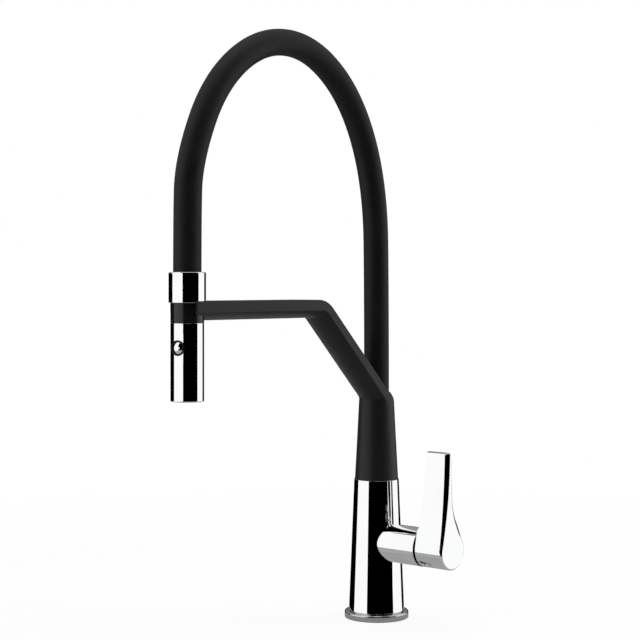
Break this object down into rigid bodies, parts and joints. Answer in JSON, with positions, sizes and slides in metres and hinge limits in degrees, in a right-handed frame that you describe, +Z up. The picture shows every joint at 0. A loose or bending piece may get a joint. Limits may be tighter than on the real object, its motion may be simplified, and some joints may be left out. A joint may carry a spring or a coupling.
{
  "type": "pre rinse faucet",
  "caption": "Single-lever kitchen faucet with a tapered body, an arched covered hose, a swivelling support arm and a pull-out spray head held in an open fork.",
  "frame": {"origin": "centre of the underside of the base ring, on the sink", "axes": "+Z up along the body; -Y towards the spray head; +X towards the lever"},
  "size_m": [0.1152, 0.2803, 0.5183],
  "materials": {
    "chrome": "polished chrome plate",
    "satin_steel": "satin steel",
    "black_moulding": "satin black moulding",
    "black_gloss": "semi-gloss black",
    "black_silicone": "matte black silicone sleeve",
    "braid": "reinforced inner hose",
    "seal": "black seal rubber",
    "brass": "turned brass",
    "ceramic": "lapped ceramic",
    "white_plastic": "white acetal",
    "steel": "stainless steel"
  },
  "bodies": {
    "faucet_body": {"base_ring": "satin_steel", "base_seal": "seal", "body_shell": "chrome", "body_core": "brass", "thrust_ring": "white_plastic", "retaining_clip": "steel", "port_gasket": "seal", "fixed_disc": "ceramic", "cartridge_body": "white_plastic", "cartridge_nut": "brass", "spigot_o_ring_lower": "seal", "spigot_o_ring_upper": "seal"},
    "spout": {"support_arm": "black_moulding", "dock_magnet": "steel", "bearing_sleeve": "white_plastic", "hose_socket": "brass", "hose_cover": "black_silicone", "water_hose": "braid"},
    "hose_end": {"hose_collar": "chrome", "hose_tail": "brass", "swivel_o_ring": "seal", "head_band": "black_gloss", "keeper_ring": "steel"},
    "spray_head": {"head_shell": "chrome", "valve_body": "white_plastic", "check_valve": "white_plastic", "button_bezel": "chrome", "button_spring": "steel", "spray_face": "black_gloss", "jet_mat": "seal", "aerator_ring": "chrome", "aerator_insert": "white_plastic"},
    "button": {"button_cap": "chrome", "diverter_spool": "steel"},
    "yoke": {"yoke": "white_plastic", "pivot_pin": "steel"},
    "lever": {"stem": "steel", "lever": "chrome", "grub_screw": "steel", "screw_plug": "black_gloss"},
    "disc": {"disc_carrier": "white_plastic", "moving_disc": "ceramic"}
  },
  "joints": [
    {"name": "spout_swivel", "type": "hinge", "parent": "faucet_body", "child": "spout", "pos_m": [0, 0, 0.137], "axis": [0, 0, 1], "continuous": true},
    {"name": "head_undock", "type": "slide", "parent": "spout", "child": "hose_end", "axis": [0, -1, 0], "range_m": [0, 0.06], "deforming": ["hose_cover", "water_hose"]},
    {"name": "head_swivel", "type": "hinge", "parent": "hose_end", "child": "spray_head", "pos_m": [0, -0.2365, 0.28], "axis": [0, 0, 1], "continuous": true},
    {"name": "button_press", "type": "slide", "parent": "spray_head", "child": "button", "axis": [-0.1994, 0.9799, 0], "range_m": [0, 0.0015], "stiffness_N_per_m": 600, "springref_m": -0.003, "deforming": ["button_spring"]},
    {"name": "lever_turn", "type": "hinge", "parent": "faucet_body", "child": "yoke", "pos_m": [0.038, 0, 0.0687], "axis": [1, 0, 0], "range_deg": [-45, 45]},
    {"name": "lever_tilt", "type": "hinge", "parent": "yoke", "child": "lever", "pos_m": [0.038, 0, 0.0687], "axis": [0, 1, 0], "range_deg": [0, 20]},
    {"name": "disc_slide", "type": "slide", "parent": "yoke", "child": "disc", "axis": [0, 0, 1], "range_m": [0, 0.0021]}
  ],
  "couplings": [
    {"joint": "disc_slide", "follows": "lever_tilt", "m_per_rad": 0.006}
  ]
}
